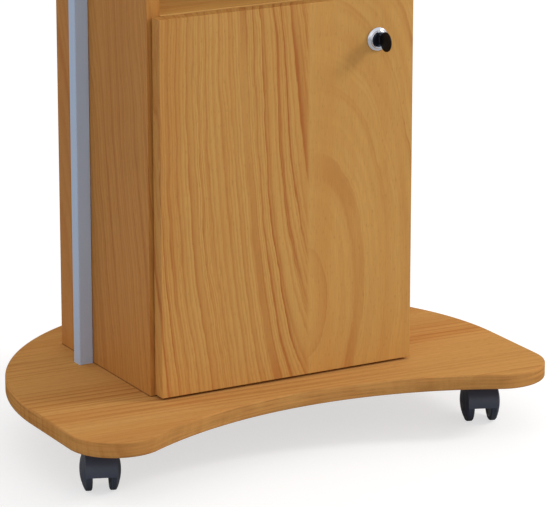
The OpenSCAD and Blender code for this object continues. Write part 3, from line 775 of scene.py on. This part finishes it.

# %% [markdown]
# ## Board finishes
# Every kind of board uses the same beech group with its own turn, place and contrast. The grain stands
# upright on the door, the sides and the back, and lies from left to right on the base, the shelves and the
# desk. The door has the strongest figure and two leaves of it: to the left of an upright joint the lines
# lean and stand close, and to the right lie a few wide arches. Rounded edges show a lipping tape of their
# own tone with fine lines along it, most clearly on the base and the desk. On most boards this tone is
# lighter than the face, which makes it partly a painted highlight along the rounding. A thin band of painted
# shade darkens the foot of the cupboard's panels where they stand on the base.

# %% Board materials
JOINT_BLUR, FOOT_SHADE_HEIGHT = 0.003, 0.0022


def start_material(name, gloss=0.5, level=0.5):
    """A new material with its shader and its Object coordinates."""
    material = bpy.data.materials.new(name)
    material.use_nodes = True
    tree = material.node_tree
    shader = tree.nodes["Principled BSDF"]
    shader.inputs["Roughness"].default_value = gloss
    shader.inputs["Specular IOR Level"].default_value = level
    return material, tree, shader, add(tree, "TexCoord", out=3)


def use(tree, group, **inputs):
    """Places a shader node group and returns its outputs by name."""
    node = tree.nodes.new("ShaderNodeGroup")
    node.node_tree = group
    for key, value in inputs.items():
        if isinstance(value, bpy.types.NodeSocket):
            tree.links.new(value, node.inputs[key])
        else:
            node.inputs[key].default_value = value
    return node.outputs


def bump(tree, shader, height, strength, distance):
    """Gives the shader fine relief from a height."""
    relief = add(tree, "Bump", {"Height": height, "Strength": strength, "Distance": distance})
    tree.links.new(relief, shader.inputs["Normal"])


def darker(colour, share):
    """A colour times a share, with its alpha at one."""
    return tuple(c * share for c in colour[:3]) + (1.0,)


ALONG_Z, ALONG_X, ALONG_Z_SIDE = (0.0, 0.0, 0.0), (0.0, -math.pi / 2, 0.0), (0.0, 0.0, math.pi / 2)


def beech_material(name, turn, shift, rim_share=0.3, lipping=srgb(212, 166, 102), level=0.16, leaf=None,
                   foot=None, **look):
    """Beech laminate: the grain group in place, the lipping's tone over its rounded edges as partly a painted
    highlight, and a shallow pore relief.

    leaf = (x of the joint, shift, look) lays a second leaf of the figure to the right of an upright joint.
    foot is the height where the board stands on another one; just above it a thin band of painted shade
    darkens the colour.
    """
    material, tree, shader, coordinates = start_material(name, level=level)
    vector = add(tree, "Mapping", {"Vector": coordinates, "Rotation": turn, "Location": shift})
    grain = use(tree, beech, Vector=vector, **look)
    colour = grain["Color"]
    if leaf:
        joint, second_shift, second_look = leaf
        vector = add(tree, "Mapping", {"Vector": coordinates, "Rotation": turn, "Location": second_shift})
        second = use(tree, beech, Vector=vector, **second_look)
        right = ramp(tree, add(tree, "SeparateXYZ", {0: coordinates}), joint - JOINT_BLUR, joint + JOINT_BLUR)
        colour = mix(tree, right, colour, second["Color"])
    # Rounded edges take the lipping tone; where it is lighter than the face it is a painted highlight along
    # the rounding.
    edge = use(tree, lipping_highlight, Vector=coordinates, Amount=rim_share)
    streak = long_noise(tree, coordinates, (13, 13, 420))
    tape = mix(tree, ramp(tree, streak, 0.38, 0.62), lipping, darker(lipping, 0.72))
    colour = mix(tree, edge["Mask"], colour, tape)
    # Painted shade: just above the foot the colour darkens towards a dark brown, as a contact shadow.
    if foot:
        above = add(tree, "SeparateXYZ", {0: coordinates}, out=2)
        colour = mix(tree, ramp(tree, above, foot, foot + FOOT_SHADE_HEIGHT, 0.85, 0.0), colour, srgb(84, 42, 22))
    tree.links.new(colour, shader.inputs["Base Color"])
    tree.links.new(grain["Roughness"], shader.inputs["Roughness"])
    bump(tree, shader, grain["Height"], 0.12, 0.00012)
    return material


door_tones = dict(Pale=srgb(204, 154, 84), Ring=srgb(174, 104, 48), Streak=srgb(196, 134, 66))
side_look = dict(Contrast=0.8, Fine=0.6, Pale=srgb(194, 136, 68), Ring=srgb(168, 100, 46),
                 Streak=srgb(184, 120, 56))
arches = dict(Lean=0.0, Heart=0.055, Slant=0.40, Contrast=1.0, Fine=0.2, Rings=27.0, **door_tones)
tape_tone, foot = srgb(198, 139, 78), base_high.z

door_beech = beech_material("beech door", ALONG_Z, (-0.105, -front, -0.30), Lean=-0.02, Heart=0.11,
                            Slant=-0.22, Contrast=1.3, Fine=0.40,
                            leaf=(0.026, (-0.030, -front, -0.307), arches), **door_tones)
side_beech = beech_material("beech sides", ALONG_Z_SIDE, (0.16, 0.31, -0.4), foot=foot, Lean=0.02, Heart=0.12,
                            Slant=0.05, **side_look)
right_beech = beech_material("beech right side", ALONG_Z_SIDE, (0.20, -0.03, -0.55), foot=foot, Lean=-0.02,
                             Heart=0.13, Slant=0.04, **side_look)
base_beech = beech_material("beech base", ALONG_X, (0.10, 0.22, 0.35), rim_share=1.0, lipping=tape_tone, level=0.0,
                            Lean=-0.05, Heart=0.10, Slant=0.05, Contrast=1.9, Pale=srgb(203, 151, 87),
                            Streak=srgb(188, 125, 65), Ring=srgb(156, 92, 44))
desk_beech = beech_material("beech desk", ALONG_X, (-0.9, 0.05, 0.65), rim_share=0.8, lipping=tape_tone, Lean=0.04,
                            Heart=0.15, Slant=0.07, Contrast=0.7)
shelf_beech = beech_material("beech shelves", ALONG_X, (-0.4, 0.12, 0.15), Lean=0.03, Heart=0.13, Slant=0.04,
                             Contrast=0.8, Pale=srgb(210, 160, 88), Streak=srgb(200, 138, 70))
back_beech = beech_material("beech back", ALONG_Z, (0.13, -0.08, -0.35), foot=foot, Lean=-0.03, Heart=0.10,
                            Slant=0.06, Contrast=0.75)


def finish(material, slot, *pieces):
    """Gives pieces a material. slot, the record's slot that it stands for, is not used."""
    for piece in pieces:
        piece.data.materials.clear()
        piece.data.materials.append(material)
    print(material.name, "on", len(pieces))


finish(door_beech, "board_door", door_leaf)
finish(side_beech, "board_side", left_side_panel)
finish(right_beech, "board_side", right_side_panel)
finish(base_beech, "board_light", base_board)
finish(desk_beech, "board_light", desk_top)
finish(shelf_beech, "board_side", bottom_board, fixed_shelf, top_board, free_shelf, book_ledge)
finish(back_beech, "board_side", back_board)

# %% [markdown]
# ## Metals
# The uprights are extruded aluminium with a matt, bluish anodised skin and faint drawing lines along them.
# The skin hides the metal's mirror, so they are dressed as a pale coating. Posts and bar are brighter and
# more metallic. The brackets and post heads are cast and blasted, so they are duller and grainy. The lock
# ring and the key's blade are polished chrome. Hinges, pegs, screws, plates, axles and the lock's nut, cam
# and catch are zinc.

# %% Metal materials
def metal(name, colour, gloss, spread, relief, scale=(1.0, 1.0, 1.0), fade=0.06, metallic=1.0, level=0.5):
    """A drawn or plated metal whose gloss and tone vary along its lines."""
    material, tree, shader, coordinates = start_material(name, gloss, level)
    shader.inputs["Metallic"].default_value = metallic
    lines = use(tree, drawn, Vector=stretch(tree, coordinates, scale))
    tree.links.new(mix(tree, lines["Tint"], colour, darker(colour, 1 - fade)), shader.inputs["Base Color"])
    rough = ramp(tree, lines["Gloss"], 0.3, 0.7, gloss - spread, gloss + spread)
    tree.links.new(rough, shader.inputs["Roughness"])
    bump(tree, shader, lines["Height"], relief, 0.00006)
    return material


anodised = metal("anodised aluminium", srgb(182, 200, 226), 0.55, 0.07, 0.25, metallic=0.0, level=0.25)
bright_post = metal("bright aluminium", srgb(196, 200, 210), 0.34, 0.06, 0.2, metallic=0.8)
bar_metal = metal("drawn bar", srgb(205, 209, 216), 0.30, 0.06, 0.2, (0.004, 1.0, 250.0))
zinc = metal("zinc plate", srgb(178, 180, 184), 0.36, 0.10, 0.15, (0.5, 0.5, 60.0), 0.14)
chrome = metal("polished chrome", srgb(222, 227, 238), 0.17, 0.04, 0.03, (0.2, 0.2, 20.0), 0.03)


def cast_metal(name, colour, gloss):
    """Blasted casting: moulding grain for its relief and a cloudy gloss."""
    material, tree, shader, coordinates = start_material(name, gloss)
    shader.inputs["Metallic"].default_value = 0.9
    grain = use(tree, moulded, Vector=coordinates, Grain=900.0)
    tree.links.new(mix(tree, grain["Gloss"], darker(colour, 0.82), colour), shader.inputs["Base Color"])
    rough = ramp(tree, grain["Gloss"], 0.3, 0.7, gloss - 0.08, gloss + 0.08)
    tree.links.new(rough, shader.inputs["Roughness"])
    bump(tree, shader, grain["Height"], 0.35, 0.00025)
    return material


casting = cast_metal("blasted casting", srgb(150, 155, 164), 0.5)

finish(anodised, "aluminium", nodes["rail_left"], nodes["rail_right"])
finish(bright_post, "aluminium", nodes["post_left"], nodes["post_right"])
finish(bar_metal, "aluminium", nodes["cross_bar"])
finish(casting, "aluminium", *(nodes[n] for n in ("post_head_left", "post_head_right", "bracket_left",
                                                  "bracket_right")))
finish(chrome, "chrome", rosette, nodes["key_blade"])
finish(zinc, "zinc", nut, *(nodes[n] for n in (
    "lock_cam", "lock_strike", "hinge_cup_low", "hinge_cup_high", "hinge_arm_low", "hinge_arm_high",
    "shelf_pegs", "rail_screws", "caster_screws",
    *(f"caster_{c}_{p}" for c in CORNERS for p in ("plate", "axle")))))

# %% [markdown]
# ## Plastics
# The casters' hoods and wheels are slate-grey nylon with a soft sheen, and the brake pedals are darker. The
# knobs and the key's grip are black, and the plug of the lock is dark plated zinc. The door's buffers are
# clear.

# %% Plastic materials
def plastic(name, colour, gloss, relief=0.25, grain=1400.0, scuff=0.12, level=0.5):
    """Moulded plastic with its spark-eroded grain, cloudy gloss and a few pale scuffs."""
    material, tree, shader, coordinates = start_material(name, gloss, level)
    skin = use(tree, moulded, Vector=coordinates, Grain=grain)
    pale = tuple(min(1.0, c * 1.9 + 0.02) for c in colour[:3]) + (1.0,)
    body = mix(tree, skin["Gloss"], darker(colour, 0.86), colour)
    scuffed = mix(tree, calc(tree, "MULTIPLY", skin["Scuff"], scuff), body, pale)
    tree.links.new(scuffed, shader.inputs["Base Color"])
    rough = ramp(tree, skin["Gloss"], 0.3, 0.7, gloss - 0.06, gloss + 0.08)
    tree.links.new(rough, shader.inputs["Roughness"])
    bump(tree, shader, skin["Height"], relief, 0.00012)
    return material


hood_grey = plastic("slate hood", srgb(70, 76, 93), 0.40, level=0.35)
wheel_grey = plastic("slate wheel", srgb(60, 66, 80), 0.44, level=0.35)
pedal_grey = plastic("dark pedal", srgb(46, 48, 54), 0.45)
knob_black = plastic("black knob", srgb(26, 27, 31), 0.42, grain=1100.0)
key_black = plastic("black key grip", srgb(9, 10, 13), 0.42, relief=0.12, level=0.12)
plug_dark = metal("dark plug", srgb(70, 76, 88), 0.30, 0.06, 0.08, (0.2, 20.0, 0.2), 0.2)

clear_soft, clear_tree, clear_shader, clear_coordinates = start_material("clear buffer", 0.12)
clear_shader.inputs["Transmission Weight"].default_value = 0.85
clear_shader.inputs["IOR"].default_value = 1.45
cloudy = noise(clear_tree, clear_coordinates, 600.0, 2.0)
clear_tree.links.new(mix(clear_tree, cloudy, srgb(232, 234, 236), srgb(250, 250, 250)),
                     clear_shader.inputs["Base Color"])
clear_tree.links.new(ramp(clear_tree, cloudy, 0.3, 0.7, 0.08, 0.2), clear_shader.inputs["Roughness"])

finish(hood_grey, "caster_grey", *(nodes[f"caster_{c}_hood"] for c in CORNERS))
finish(wheel_grey, "wheel_grey", *wheels)
finish(pedal_grey, "pedal_dark", nodes["caster_rl_brake"], nodes["caster_rr_brake"])
finish(knob_black, "knob_black", *knobs)
finish(key_black, "key_black", grip)
finish(plug_dark, "plug_dark", nodes["lock_plug"])
finish(clear_soft, "clear_buffer", *buffers)

# %% [markdown]
# ## Last update
# The view layer is updated once more.

# %% Last update
import json

bpy.context.view_layer.update()
